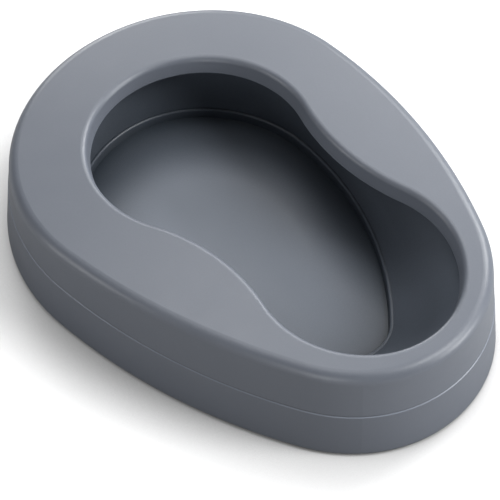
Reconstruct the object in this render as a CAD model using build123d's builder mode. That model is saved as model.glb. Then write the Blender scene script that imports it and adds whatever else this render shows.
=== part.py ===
from build123d import *

import os
from dataclasses import dataclass
from math import radians, sin, tan

# Bedpan: a hollow seat and base closed round a drop-in bowl.
#
# Frame: +Z up, Z = 0 on the face it rests on, X = 0 the plane of symmetry, +Y the wide rear end
# and -Y the narrow front end. The origin is the middle of the footprint. Millimetres.
#
# Three mouldings and three seals:
#     seat_shell   domed seat, upper skirt, and the lip that hangs down inside the bowl
#     base_shell   lower skirt and bottom flange, open in the middle for the bowl's foot
#     bowl         stepped floor and flared walls, its rim held under the seat
#     seam_seal    between the two shells, behind the parting line
#     throat_seal  between the bowl's rim and the seat's underside
#     foot_seal    between the bowl's ledge and the base's collar


@dataclass(frozen=True)
class Outline:
    """A closed outline in plan, made of tangent arcs and symmetric about the Y axis.

    It starts at its rear end, on the axis. The arcs run down the +X side, each a radius and a turn
    in degrees, both negative where the side curves inwards. One more arc closes the front end.
    """

    rear_y: float
    arcs: tuple

    def grown(self, by):
        """The outline moved outwards everywhere by a distance."""
        return Outline(self.rear_y + by, tuple((radius + by, turn) for radius, turn in self.arcs))


# --- Driving dimensions ---------------------------------------------------------------------
FOOTPRINT = Outline(194.0, ((142, 28), (135, 62), (430, 26.5), (116, 21)))  # at Z = 0
OPENING = Outline(139.3, ((78, 31), (81, 82), (-150, -39.6), (76, 71)))  # at OPENING_Z
BOWL_FLOOR = Outline(141.5, ((86, 46), (98, 46), (220, 44.5)))
BOWL_MIDDLE = Outline(152.0, ((98, 45), (100, 40), (290, 38)))
BOWL_TOP = Outline(156.0, ((101, 45), (101, 38), (425, 26)))

# Shells
WALL = 3.2
FLARE = 3.5  # degrees that the skirt leans in, going up
SEAM_Z = 44.0  # parting line of the two shells
SEAM_STEP = 0.3  # how far the seat's skirt stands back from the base's at the parting line
EDGE_R = 8.5  # rolled outer edge of the seat
EDGE_INNER_R = 3.0  # the same edge, inside
BOTTOM_R = 5.0  # outer edge of the base
UPPER_CHAMFER = 0.4  # seat's edge at the parting line
LOWER_CHAMFER = 0.9  # base's edge at the parting line

# Seat surface: part of a large ball, whose crown is forward of the middle
DOME_R = 1250.0
DOME_Y = -56.0
DOME_TOP = 91.9
BLOCK_TOP = 100.0  # above all of it, for blocks that the ball trims
TINY = 0.01  # for telling one ball's radius from another's

# Lip round the opening
OPENING_Z = 84.0
LIP_DEPTH = 14.0  # below the seat surface
LIP_LEAN = 14.0  # degrees that its face leans in, going down
LIP_WALL = 3.0
LIP_TOP_R = 4.0
LIP_TIP_R = 1.2

# Bowl
BOWL_WALL = 2.5
FLOOR_Z = 4.5  # upper face of the floor
RISER = 1.4  # how far the riser round the floor leans out
FOOT_RISER = 0.6  # the same, outside, which leaves more ledge to rest on
LEDGE = 2.0  # width of the ledge above the riser
LEDGE_Z = 11.5
LEDGE_R = 1.6  # edge of the ledge, above the riser
BOWL_MIDDLE_Z = 42.0
BOWL_TOP_Z = 86.0

# Joints between the pieces
SEAL = 1.5  # thickness of each seal
FIT = 0.3  # clearance round pieces that only locate each other
SOCKET_DEPTH = 12.0  # from the seat surface to the end of the rib round the bowl's rim
SOCKET_WALL = 2.0
TONGUE = 1.4  # thickness of the seat's tongue, which stands inside the base's skirt
TONGUE_LENGTH = 5.0
TONGUE_FIT = 0.15
COLLAR_WALL = 4.5

# Stiffening webs, across the width
WEB = 2.4
WEB_PITCH = 54.0
WEB_COUNT = 5
SEAT_WEB_DEPTH = 15.0  # from the seat surface to the webs' lower edges
BASE_WEB_Z = 14.0  # top of the base's webs
WEB_ROOT = 1.0  # how far a web runs into the wall that it stands on

# Worked out from the above
LEDGE_UNDER_Z = LEDGE_Z - BOWL_WALL
COLLAR_Z = LEDGE_UNDER_Z - SEAL
TONGUE_Z = SEAM_Z - TONGUE_LENGTH
REBATE_Z = TONGUE_Z - SEAL
FOOT = BOWL_FLOOR.grown(BOWL_WALL + FOOT_RISER)  # the bowl's foot at its widest
LEDGE_EDGE = BOWL_FLOOR.grown(BOWL_WALL + RISER + LEDGE)  # outer edge of the ledge's underside
SOCKET = BOWL_TOP.grown(BOWL_WALL + FIT)


def skirt(z, inset=0.0):
    """The skirt's outline at a height, moved inwards by an inset."""
    return FOOTPRINT.grown(-z * tan(radians(FLARE)) - inset)


def lip_face(z, outset=0.0):
    """The outline of the lip's face at a height, moved outwards by an outset."""
    return OPENING.grown((z - OPENING_Z) * tan(radians(LIP_LEAN)) + outset)


def flat(outline, z):
    """A face with an outline, at a height."""
    start, heading, turned = Vector(0, outline.rear_y), Vector(1, 0), 0
    with BuildSketch(Plane.XY.offset(z), mode=Mode.PRIVATE) as face:
        with BuildLine():
            for radius, turn in outline.arcs:
                arc = JernArc(start, heading, abs(radius), -turn)
                start, heading, turned = arc @ 1, arc % 1, turned + turn
            JernArc(start, heading, start.X / sin(radians(turned)), turned - 180)
            mirror(about=Plane.YZ)
        make_face()
    return face.sketch


def straight_block(outline, low, high, mode=Mode.ADD):
    """An upright block between two heights, in the part that is being built."""
    extrude(flat(outline, low), amount=high - low, mode=mode)


def skirt_block(low, high, inset=0.0, mode=Mode.ADD):
    """A block with the skirt's flare between two heights, in the part that is being built."""
    loft([flat(skirt(z, inset), z) for z in (low, high)], ruled=True, mode=mode)


def lip_block(outset=0.0, mode=Mode.ADD):
    """A block with the lip's lean, from below the lip to above the seat."""
    heights = (SEAM_Z, BLOCK_TOP)
    loft([flat(lip_face(z, outset), z) for z in heights], ruled=True, mode=mode)


def trim_to_dome(depth, mode=Mode.INTERSECT):
    """Keeps what lies at least a depth below the seat surface, or with SUBTRACT what doesn't."""
    with Locations((0, DOME_Y, DOME_TOP - DOME_R)):
        Sphere(DOME_R - depth, rotation=(90, 0, 0), mode=mode)


def seat_block(low, inset, depth, edge_r):
    """The block under the domed seat with its top edge rolled: the seat's outside or its hollow."""
    with BuildPart() as block:
        skirt_block(low, BLOCK_TOP, inset)
        trim_to_dome(depth)
        fillet(block.faces().sort_by(Axis.Z)[-1].edges(), edge_r)
    return block.part


def lip_plug():
    """The lip before its opening is cut."""
    with BuildPart() as plug:
        lip_block(LIP_WALL)
        trim_to_dome(WALL / 2)
        trim_to_dome(LIP_DEPTH, Mode.SUBTRACT)
    return plug.part


def socket_ring():
    """The rib under the seat that locates the bowl's rim."""
    with BuildPart() as ring:
        straight_block(SOCKET.grown(SOCKET_WALL), SEAM_Z, BLOCK_TOP)
        straight_block(SOCKET, SEAM_Z, BLOCK_TOP, Mode.SUBTRACT)
        trim_to_dome(WALL / 2)
        trim_to_dome(SOCKET_DEPTH, Mode.SUBTRACT)
    return ring.part


def cross_webs(low, high, inner):
    """Upright webs across the width between two heights, from an inner outline to the skirt."""
    with BuildPart() as webs:
        skirt_block(low, high, WALL - WEB_ROOT)
        straight_block(inner, low, high, Mode.SUBTRACT)
        with Locations((0, 0, low)), GridLocations(0, WEB_PITCH, 1, WEB_COUNT):
            size = (2 * FOOTPRINT.rear_y, WEB, high - low)
            Box(*size, align=(Align.CENTER, Align.CENTER, Align.MIN), mode=Mode.INTERSECT)
    return webs.part


def bowl_form(wall, riser):
    """The bowl's stepped form, grown outwards and downwards by a wall: its hollow has none."""
    ledge_z = LEDGE_Z - wall
    with BuildPart() as form:
        riser_top = flat(BOWL_FLOOR.grown(wall + riser), ledge_z)
        loft([flat(BOWL_FLOOR.grown(wall), FLOOR_Z - wall), riser_top], ruled=True)
        wall_foot = flat(BOWL_FLOOR.grown(wall + RISER + LEDGE), ledge_z)
        wall_middle = flat(BOWL_MIDDLE.grown(wall), BOWL_MIDDLE_Z)
        loft([wall_foot, wall_middle, flat(BOWL_TOP.grown(wall), BOWL_TOP_Z)])
    return form.part


def bowl_hollow():
    """The inside of the bowl, with the edge of its ledge rounded."""
    sharp = bowl_form(0, RISER)
    with BuildPart() as hollow:
        add(sharp)
        ledge = hollow.faces().filter_by(Plane.XY).sort_by(Axis.Z)[1]
        fillet(ledge.inner_wires()[0].edges(), LEDGE_R)
    return hollow.part


def make_seat_shell():
    outside = seat_block(SEAM_Z, SEAM_STEP, 0, EDGE_R)
    hollow = seat_block(TONGUE_Z, WALL, WALL, EDGE_INNER_R)
    mid_wall = seat_block(SEAM_Z, WALL / 2, WALL / 2, EDGE_R - WALL / 2)
    plug = lip_plug()
    socket = socket_ring()
    webs = cross_webs(SEAM_Z, BLOCK_TOP, SOCKET.grown(SOCKET_WALL / 2))
    with BuildPart() as seat_webs:
        add(webs)
        add(mid_wall, mode=Mode.INTERSECT)
        trim_to_dome(SEAT_WEB_DEPTH, Mode.SUBTRACT)
    with BuildPart() as seat_shell:
        add(outside)
        chamfer(seat_shell.faces().sort_by(Axis.Z)[0].edges(), UPPER_CHAMFER)
        skirt_block(TONGUE_Z, SEAM_Z, WALL - TONGUE)
        add(hollow, mode=Mode.SUBTRACT)
        add(socket)
        add(seat_webs.part)
        add(plug)
        lip_block(mode=Mode.SUBTRACT)
        top = seat_shell.faces().sort_by(Axis.Z)[-1]
        fillet(top.inner_wires()[0].edges(), LIP_TOP_R)
        domed = seat_shell.faces().filter_by(GeomType.SPHERE)
        tip = domed.filter_by(lambda face: abs(face.radius - DOME_R + LIP_DEPTH) < TINY)
        fillet(tip.edges(), LIP_TIP_R)
    seat_shell.part.label = "seat_shell"
    export_step(seat_shell.part, "parts/seat_shell.step")


def make_base_shell():
    webs = cross_webs(WALL - WEB_ROOT, BASE_WEB_Z, BOWL_MIDDLE.grown(BOWL_WALL + FIT))
    hole = FOOT.grown(FIT)
    with BuildPart() as base_shell:
        skirt_block(0, SEAM_Z)
        fillet(base_shell.faces().sort_by(Axis.Z)[0].edges(), BOTTOM_R)
        chamfer(base_shell.faces().sort_by(Axis.Z)[-1].edges(), LOWER_CHAMFER)
        skirt_block(WALL, SEAM_Z, WALL, Mode.SUBTRACT)
        skirt_block(REBATE_Z, SEAM_Z, WALL - TONGUE - TONGUE_FIT, Mode.SUBTRACT)
        straight_block(hole.grown(COLLAR_WALL), WALL / 2, COLLAR_Z)
        straight_block(hole, 0, COLLAR_Z, Mode.SUBTRACT)
        add(webs)
    base_shell.part.label = "base_shell"
    export_step(base_shell.part, "parts/base_shell.step")


def make_bowl():
    outside = bowl_form(BOWL_WALL, FOOT_RISER)
    hollow = bowl_hollow()
    with BuildPart() as bowl:
        add(outside)
        add(hollow, mode=Mode.SUBTRACT)
        trim_to_dome(WALL + SEAL)
    bowl.part.label = "bowl"
    export_step(bowl.part, "parts/bowl.step")


def make_seam_seal():
    with BuildPart() as seam_seal:
        skirt_block(REBATE_Z, TONGUE_Z, WALL - TONGUE)
        skirt_block(REBATE_Z, TONGUE_Z, WALL, Mode.SUBTRACT)
    seam_seal.part.label = "seam_seal"
    export_step(seam_seal.part, "parts/seam_seal.step")


def make_throat_seal():
    outside = bowl_form(BOWL_WALL, FOOT_RISER)
    hollow = bowl_form(0, RISER)
    with BuildPart() as throat_seal:
        add(outside)
        add(hollow, mode=Mode.SUBTRACT)
        trim_to_dome(WALL)
        trim_to_dome(WALL + SEAL, Mode.SUBTRACT)
    throat_seal.part.label = "throat_seal"
    export_step(throat_seal.part, "parts/throat_seal.step")


def make_foot_seal():
    with BuildPart() as foot_seal:
        straight_block(LEDGE_EDGE, COLLAR_Z, LEDGE_UNDER_Z)
        straight_block(FOOT.grown(FIT), COLLAR_Z, LEDGE_UNDER_Z, Mode.SUBTRACT)
    foot_seal.part.label = "foot_seal"
    export_step(foot_seal.part, "parts/foot_seal.step")


os.makedirs("parts", exist_ok=True)
make_seat_shell()
make_base_shell()
make_bowl()
make_seam_seal()
make_throat_seal()
make_foot_seal()
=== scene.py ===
from bisect import bisect
from math import atan2, copysign, cos, pi, radians, sin

import bmesh
import bpy
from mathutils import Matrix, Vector


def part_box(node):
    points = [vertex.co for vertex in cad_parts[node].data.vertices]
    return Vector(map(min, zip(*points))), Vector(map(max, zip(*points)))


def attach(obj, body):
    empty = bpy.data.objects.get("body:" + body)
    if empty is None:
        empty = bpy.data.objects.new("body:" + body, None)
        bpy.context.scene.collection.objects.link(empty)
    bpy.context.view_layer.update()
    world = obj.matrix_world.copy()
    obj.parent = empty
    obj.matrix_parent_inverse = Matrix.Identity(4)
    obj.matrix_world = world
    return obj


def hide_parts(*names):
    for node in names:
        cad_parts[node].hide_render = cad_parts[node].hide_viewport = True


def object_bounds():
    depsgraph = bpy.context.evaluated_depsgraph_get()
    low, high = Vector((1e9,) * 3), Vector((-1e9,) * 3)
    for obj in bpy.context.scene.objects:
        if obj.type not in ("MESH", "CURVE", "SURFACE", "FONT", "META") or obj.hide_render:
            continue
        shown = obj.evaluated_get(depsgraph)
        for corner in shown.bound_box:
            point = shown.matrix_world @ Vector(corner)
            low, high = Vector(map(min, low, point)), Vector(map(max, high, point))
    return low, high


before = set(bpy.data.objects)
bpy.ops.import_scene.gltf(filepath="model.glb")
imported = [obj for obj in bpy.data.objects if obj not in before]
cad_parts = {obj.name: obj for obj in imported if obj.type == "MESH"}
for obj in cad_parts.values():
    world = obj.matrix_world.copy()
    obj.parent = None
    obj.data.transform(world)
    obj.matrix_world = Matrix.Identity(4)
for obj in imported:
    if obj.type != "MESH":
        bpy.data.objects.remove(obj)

# A bedpan of satin moulded plastic on a pale studio floor. Metres, +Z up, in the frame's axes.
#
# The seat, the base and the bowl are the frame's own solids with a plastic finish. The three
# rubber seals between them are built here, each as a rounded cord in the space of its solid.

MM = 0.001
cad_low, cad_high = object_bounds()
CENTRE = (cad_low + cad_high) / 2


# --- View ------------------------------------------------------------------------------------
CAMERA_AZIMUTH = -45.07
CAMERA_ELEVATION = 53.84
CAMERA_DISTANCE = 2.795
CAMERA_LENS = 289.3
SENSOR = 36.0
AIM = CENTRE + Vector((-20.6 * MM, -13.3 * MM, 0.0))


def direction(azimuth, elevation):
    """The unit vector from the object towards a viewer or a lamp. Azimuth 0 is on the -Y side."""
    a, e = radians(azimuth), radians(elevation)
    return Vector((sin(a) * cos(e), -cos(a) * cos(e), sin(e)))


def aim_at(thing, towards):
    thing.rotation_mode = "QUATERNION"
    thing.rotation_quaternion = (towards - thing.location).to_track_quat("-Z", "Y")


def make_camera():
    camera = bpy.data.objects.new("camera", bpy.data.cameras.new("camera"))
    bpy.context.scene.collection.objects.link(camera)
    camera.data.sensor_width = SENSOR
    camera.data.lens = CAMERA_LENS
    camera.location = AIM + CAMERA_DISTANCE * direction(CAMERA_AZIMUTH, CAMERA_ELEVATION)
    aim_at(camera, AIM)
    bpy.context.scene.camera = camera


# --- Materials -------------------------------------------------------------------------------
SEAM_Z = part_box("base_shell")[1].z
LEDGE_Z = 11.5 * MM  # of the bowl, round its floor
BAND_BLUR = 0.1 * MM  # at the ends of a band of height
AO_SAMPLES = 8

# Plastic
CLOUD_SIZE, CLOUD_TINT = 55 * MM, 0.035  # slow changes of tone, from the flow in the mould
GRAIN_SIZE, GRAIN_TINT, GRAIN_DEPTH = 1.1 * MM, 0.05, 0.03 * MM
PATCH_SIZE, PATCH_ROUGHNESS = 18 * MM, 0.05
MARKS = (  # length, width, turn about Z in degrees, and offset in lengths, of the scuffs
    (26 * MM, 0.7 * MM, 24, 3.0),
    (34 * MM, 0.6 * MM, -63, 8.0),
)
MARK_LEVELS = (0.66, 0.78)  # of noise, where a mark starts and where it is full
MARKED_CLOUDS = (0.4, 0.65)  # marks lie only where the clouds are above this
MARK_DENT = 0.6  # of the grain's depth
# Outer edges made paler, partly from handling and partly as a painted highlight
WEAR_AND_HIGHLIGHT_REACH = 2.0 * MM
WEAR_AND_HIGHLIGHT_LEVELS = (1.0, 0.7)  # of openness inside, from unchanged to fully paler edges
WORN_SMOOTHING = 0.2

# Inside of the bowl: painted shade in its corners, creases and on its walls
SHADE_BLUE = (0.0, 0.006, 0.012)  # painted shade: the colour its deepest corners turn to
CORNER_SHADE_REACH, CORNER_SHADE_POWER = 60 * MM, 2.0
WALL_SHADE = -0.12  # painted shade: how much darker it is above the ledge
CREASE_SHADE_REACH = 10 * MM

# Rubber
BLOOM_SIZE, BLOOM_TINT, BLOOM_ROUGHNESS = 9 * MM, 0.5, 0.12
RUBBER_ROUGHNESS = 0.68
RUBBER_GRAIN, RUBBER_DEPTH = 0.5 * MM, 0.05 * MM


class Nodes:
    """A new material, and short ways to add nodes to it. A value is a number or a node's output."""

    def __init__(self, name):
        self.material = bpy.data.materials.new(name)
        self.material.use_nodes = True
        self.tree = self.material.node_tree
        self.tree.nodes.clear()
        self.place = self.add("TexCoord").outputs["Object"]

    def add(self, kind, **settings):
        node = self.tree.nodes.new("ShaderNode" + kind)
        for name, value in settings.items():
            setattr(node, name, value)
        return node

    def put(self, node, name, value):
        """Sets an input of a node, or links it to an output."""
        if isinstance(value, bpy.types.NodeSocket):
            self.tree.links.new(value, node.inputs[name])
        else:
            node.inputs[name].default_value = value

    def math(self, operation, a, b):
        node = self.add("Math", operation=operation)
        self.put(node, 0, a)
        self.put(node, 1, b)
        return node.outputs[0]

    def swing(self, value, by):
        """A value between 0 and 1 turned into one between -by and by."""
        return self.math("MULTIPLY", self.math("SUBTRACT", value, 0.5), 2 * by)

    def steps(self, value, low, high):
        """0 below low, 1 above high, smooth in between."""
        node = self.add("MapRange", interpolation_type="SMOOTHSTEP")
        for name, setting in (("Value", value), ("From Min", low), ("From Max", high)):
            self.put(node, name, setting)
        return node.outputs["Result"]

    def noise(self, size, detail=2.0, place=None):
        """Noise between 0 and 1 with blotches of about a size."""
        node = self.add("TexNoise")
        self.put(node, "Vector", place or self.place)
        self.put(node, "Scale", 1 / size)
        self.put(node, "Detail", detail)
        return node.outputs["Fac"]

    def streaks(self, length, width, turn, offset):
        """1 on thin straight marks of a length and a width, turned about Z, 0 elsewhere."""
        mapping = self.add("Mapping")
        self.put(mapping, "Vector", self.place)
        self.put(mapping, "Rotation", (0, 0, radians(turn)))
        self.put(mapping, "Scale", (1 / length, 1 / width, 1 / width))
        self.put(mapping, "Location", (offset, 0, 0))
        return self.steps(self.noise(1.0, 1.0, mapping.outputs["Vector"]), *MARK_LEVELS)

    def openness(self, reach, inside=False):
        """1 on open surfaces, less where others stand within a reach. Inside, less at outer edges."""
        node = self.add("AmbientOcclusion", samples=AO_SAMPLES, inside=inside, only_local=inside)
        self.put(node, "Distance", reach)
        return node.outputs["AO"]

    def band(self, low, high, change):
        """A change between two heights, 0 above and below."""
        split = self.add("SeparateXYZ")
        self.put(split, "Vector", self.place)
        height = split.outputs["Z"]
        above = self.steps(height, low - BAND_BLUR, low + BAND_BLUR)
        below = self.steps(height, high + BAND_BLUR, high - BAND_BLUR)
        return self.math("MULTIPLY", self.math("MULTIPLY", above, below), change)

    def shade(self, colour, brightness, roughness, height, depth):
        """Ends the material: a colour times a brightness, a roughness, and a relief of a depth."""
        tint = self.add("VectorMath", operation="SCALE")
        self.put(tint, 0, colour)
        self.put(tint, "Scale", brightness)
        bump = self.add("Bump")
        self.put(bump, "Height", height)
        self.put(bump, "Distance", depth)
        shader = self.add("BsdfPrincipled")
        self.put(shader, "Base Color", tint.outputs["Vector"])
        self.put(shader, "Roughness", roughness)
        self.put(shader, "Normal", bump.outputs["Normal"])
        self.put(self.add("OutputMaterial"), "Surface", shader.outputs["BSDF"])
        return self.material


def painted_shade_colour(n, colour, creases):
    """A colour with painted shade: darker in deep corners, and in the creases below the ledge by an
    amount.
    """
    open_share = n.math("POWER", n.openness(CORNER_SHADE_REACH), CORNER_SHADE_POWER)
    wall_shade_factor = n.math("ADD", 1.0, n.band(LEDGE_Z, cad_high.z, WALL_SHADE))
    open_share = n.math("MULTIPLY", open_share, wall_shade_factor)
    closed = n.math("SUBTRACT", 1.0, n.openness(CREASE_SHADE_REACH))
    crease_unshaded = n.math("SUBTRACT", 1.0, n.math("MULTIPLY", closed, n.band(0.0, LEDGE_Z - MM, creases)))
    mix = n.add("MixRGB")
    n.put(mix, "Fac", n.math("MULTIPLY", open_share, crease_unshaded))
    n.put(mix, "Color1", (*SHADE_BLUE, 1))
    n.put(mix, "Color2", (*colour, 1))
    return mix.outputs["Color"]


def moulded_plastic(name, colour, roughness, scuffs, wear_and_highlight, band=None, painted_shade_amount=0.0):
    """Satin plastic: fine mould grain, faint flow clouds, light scuffs, and paler outer edges.

    The edge band and band are (low, high, change) in height. The edge band is how much paler the
    outer edges are there, partly from handling and partly as a painted highlight, and band how much
    paler, or darker below zero, the whole surface is: paler as a painted highlight, darker as a
    painted shadow. Scuffs is how much rougher a mark is. The shade amount is how dark the creases
    get with painted shade, and any of it also paints shade into deep corners.
    """
    n = Nodes(name)
    clouds = n.noise(CLOUD_SIZE, detail=3.0)
    grain = n.noise(GRAIN_SIZE)
    # Outer edges paler, partly from handling and partly as a painted highlight
    edge_wear_and_highlight = n.steps(n.openness(WEAR_AND_HIGHLIGHT_REACH, inside=True), *WEAR_AND_HIGHLIGHT_LEVELS)
    edge_wear_and_highlight = n.math("MULTIPLY", edge_wear_and_highlight, n.band(*wear_and_highlight))
    marks = n.math("MAXIMUM", *(n.streaks(*mark) for mark in MARKS))
    marks = n.math("MULTIPLY", marks, n.steps(clouds, *MARKED_CLOUDS))

    brightness = n.math("ADD", 1.0, n.swing(clouds, CLOUD_TINT))
    brightness = n.math("ADD", brightness, n.swing(grain, GRAIN_TINT))
    brightness = n.math("ADD", brightness, edge_wear_and_highlight)
    # A band of painted highlight, or of painted shadow below zero
    if band:
        brightness = n.math("ADD", brightness, n.band(*band))
    # Painted shade in the deep corners and in the creases
    if painted_shade_amount:
        colour = painted_shade_colour(n, colour, painted_shade_amount)
    rough = n.math("ADD", roughness, n.swing(n.noise(PATCH_SIZE), PATCH_ROUGHNESS))
    rough = n.math("ADD", rough, n.math("MULTIPLY", marks, scuffs))
    rough = n.math("SUBTRACT", rough, n.math("MULTIPLY", edge_wear_and_highlight, WORN_SMOOTHING))
    relief = n.math("SUBTRACT", grain, n.math("MULTIPLY", marks, MARK_DENT))
    return n.shade(colour, brightness, rough, relief, GRAIN_DEPTH)


def seal_rubber(name, colour):
    """Matt rubber with a dusty bloom."""
    n = Nodes(name)
    bloom = n.noise(BLOOM_SIZE, detail=4.0)
    grain = n.noise(RUBBER_GRAIN)
    brightness = n.math("ADD", 1.0, n.math("MULTIPLY", bloom, BLOOM_TINT))
    rough = n.math("ADD", RUBBER_ROUGHNESS, n.swing(bloom, BLOOM_ROUGHNESS))
    return n.shade(colour, brightness, rough, grain, RUBBER_DEPTH)


# --- Seals -----------------------------------------------------------------------------------
CORD_STEPS = 240  # round the seal
CORD_SIDES = 16  # round its section
CORD_POWER = 0.5  # 1 gives an elliptical section, 0 a sharp-edged one
FLATNESS = 0.7  # a face with more upward or downward normal than this is a top or a bottom
SAME_PLACE = 0.001 * MM  # vertices closer than this are one


def rails(node):
    """A CAD ring's middle and its four edges, as (angle, distance, height) about the middle.

    The edges are under (1, 1) for top outer, (1, -1) for top inner, (-1, 1) and (-1, -1).
    """
    low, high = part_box(node)
    middle = (low + high) / 2
    found = {}
    mesh = bmesh.new()
    mesh.from_mesh(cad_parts[node].data)
    bmesh.ops.remove_doubles(mesh, verts=mesh.verts, dist=SAME_PLACE)
    for vert in mesh.verts:
        arm = (vert.co - middle).xy
        up = out = 0
        for face in vert.link_faces:
            if abs(face.normal.z) > FLATNESS:
                up = copysign(1, face.normal.z)
            else:
                out = copysign(1, face.normal.xy.dot(arm))
        found.setdefault((up, out), []).append((atan2(arm.y, arm.x), arm.length, vert.co.z))
    mesh.free()
    return middle, {key: sorted(points) for key, points in found.items()}


def on_rail(points, angle):
    """The distance and height of a rail at an angle."""
    after = bisect(points, (angle,)) % len(points)
    start, end = points[after - 1], points[after]
    share = (angle - start[0]) % (2 * pi) / ((end[0] - start[0]) % (2 * pi))
    return Vector(start[1:]).lerp(Vector(end[1:]), share)


def make_seal(node, material):
    """Puts a rounded rubber cord in the space of a CAD ring."""
    middle, edges = rails(node)
    verts, faces = [], []
    for step in range(CORD_STEPS):
        turn = 2 * pi * step / CORD_STEPS - pi
        corners = {key: on_rail(edges[key], turn) for key in ((1, 1), (1, -1), (-1, 1), (-1, -1))}
        for side in range(CORD_SIDES):
            lean = 2 * pi * side / CORD_SIDES
            out, up = (copysign(abs(v) ** CORD_POWER, v) for v in (cos(lean), sin(lean)))
            spot = Vector((0, 0))
            for (tall, wide), corner in corners.items():
                spot += corner * (1 + tall * up) * (1 + wide * out) / 4
            verts.append((middle.x + spot[0] * cos(turn), middle.y + spot[0] * sin(turn), spot[1]))
            here, there = step * CORD_SIDES, (step + 1) % CORD_STEPS * CORD_SIDES
            following = (side + 1) % CORD_SIDES
            faces.append((here + side, there + side, there + following, here + following))
    data = bpy.data.meshes.new(node + "_cord")
    data.from_pydata(verts, [], faces)
    data.polygons.foreach_set("use_smooth", [True] * len(faces))
    data.materials.append(material)
    cord = bpy.data.objects.new(node + "_cord", data)
    bpy.context.scene.collection.objects.link(cord)
    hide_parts(node)
    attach(cord, "root")


# --- Studio ----------------------------------------------------------------------------------
FLOOR_RADIUS = 1.0
FLOOR_SIDES = 96
FLOOR_WHITE = 0.97  # as the camera sees it
FLOOR_BOUNCE = 0.45  # as it lights the object, so that the sides don't wash out
FLOOR_GLOW = 0.22  # painted light: an emission that lifts the shadow a little, for the camera alone
CONTACT_SHADOW_REACH = 80 * MM  # of the painted contact shadow, a darker floor round the foot
LAMP_DISTANCE = 3.0
LAMP_SIZE = 1.3


def make_floor():
    """A pale disc, darker close to the object as a painted contact shadow."""
    bpy.ops.mesh.primitive_circle_add(
        vertices=FLOOR_SIDES, radius=FLOOR_RADIUS, fill_type="NGON", location=(0, 0, cad_low.z)
    )
    floor = bpy.context.object
    floor.name = "floor"
    n = Nodes("floor")
    seen = n.add("LightPath").outputs["Is Camera Ray"]
    grey = n.math("ADD", FLOOR_BOUNCE, n.math("MULTIPLY", seen, FLOOR_WHITE - FLOOR_BOUNCE))
    shader = n.add("BsdfPrincipled")
    # Painted contact shadow: the floor darker near the object
    contact = n.openness(CONTACT_SHADOW_REACH)
    n.put(shader, "Base Color", n.math("MULTIPLY", grey, contact))
    n.put(shader, "Roughness", 1.0)
    n.put(shader, "Specular IOR Level", 0.0)
    n.put(shader, "Emission Color", (1, 1, 1, 1))
    # Painted light: the floor glows for the camera, less near the object
    glow = n.math("MULTIPLY", n.math("MULTIPLY", seen, contact), FLOOR_GLOW)
    n.put(shader, "Emission Strength", glow)
    n.put(n.add("OutputMaterial"), "Surface", shader.outputs["BSDF"])
    floor.data.materials.append(n.material)


def make_lamp(name, azimuth, elevation, power):
    """A round soft lamp, pointed at the object."""
    light = bpy.data.lights.new(name, "AREA")
    light.shape = "DISK"
    light.size = LAMP_SIZE
    light.energy = power
    lamp = bpy.data.objects.new(name, light)
    bpy.context.scene.collection.objects.link(lamp)
    lamp.location = CENTRE + LAMP_DISTANCE * direction(azimuth, elevation)
    aim_at(lamp, CENTRE)


def make_world():
    """A white backdrop to the camera, which gives no light of its own."""
    world = bpy.data.worlds.new("studio")
    bpy.context.scene.world = world
    world.use_nodes = True
    tree = world.node_tree
    background = tree.nodes["Background"]
    background.inputs["Color"].default_value = (1, 1, 1, 1)
    path = tree.nodes.new("ShaderNodeLightPath")
    tree.links.new(path.outputs["Is Camera Ray"], background.inputs["Strength"])


# --- The bedpan ------------------------------------------------------------------------------
SHELL_GREY = (0.110, 0.122, 0.146)
BOWL_GREY = (0.160, 0.181, 0.217)  # in the open, and darker elsewhere with painted shade
RUBBER_BLACK = (0.018, 0.019, 0.021)

# Bands of height: low, high and how much paler, or darker below zero. The three edge bands make the
# outer edges paler, partly from handling and partly as a painted highlight.
SEAT_WEAR_AND_HIGHLIGHT = (SEAM_Z + 10 * MM, cad_high.z, 0.35)
BASE_WEAR_AND_HIGHLIGHT = (0.0, 5 * MM, 0.1)
BOWL_WEAR_AND_HIGHLIGHT = (0.0, cad_high.z, 0.1)
# Painted highlight: a pale line along the base's top edge at the seam
SEAM_EDGE_HIGHLIGHT = (SEAM_Z - 0.9 * MM, SEAM_Z, 0.7)
# Painted shadow: a dark line on the seat's foot, just above the seam
SEAM_GAP_SHADE = (SEAM_Z, SEAM_Z + 1.2 * MM, -0.25)
FINISHES = {
    "seat_shell": moulded_plastic("seat_plastic", SHELL_GREY, 0.40, 0.06, SEAT_WEAR_AND_HIGHLIGHT, SEAM_GAP_SHADE),
    "base_shell": moulded_plastic("base_plastic", SHELL_GREY, 0.42, 0.04, BASE_WEAR_AND_HIGHLIGHT, SEAM_EDGE_HIGHLIGHT),
    "bowl": moulded_plastic("bowl_plastic", BOWL_GREY, 0.38, 0.08, BOWL_WEAR_AND_HIGHLIGHT, painted_shade_amount=0.8),
}
LAMPS = (
    # name, azimuth, elevation, power
    ("right", 90, 30, 68),
    ("far_right", 120, 30, 27),
    ("front_high", 30, 48, 60),
    ("front_low", 30, 12, 60),
    ("far_low", 150, 12, 37),
    ("far_high", 150, 64, 21),
    ("left_low", 240, 12, 21),
    ("left_high", 240, 64, 8),
    ("viewer_low", 300, 12, 22),
    ("top", 0, 90, 12),
)

for node, finish in FINISHES.items():
    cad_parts[node].data.materials.clear()
    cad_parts[node].data.materials.append(finish)
rubber = seal_rubber("seal_rubber", RUBBER_BLACK)
for node in ("seam_seal", "throat_seal", "foot_seal"):
    make_seal(node, rubber)
make_camera()
make_floor()
make_world()
for lamp in LAMPS:
    make_lamp(*lamp)

bpy.context.scene.view_settings.view_transform = "Standard"
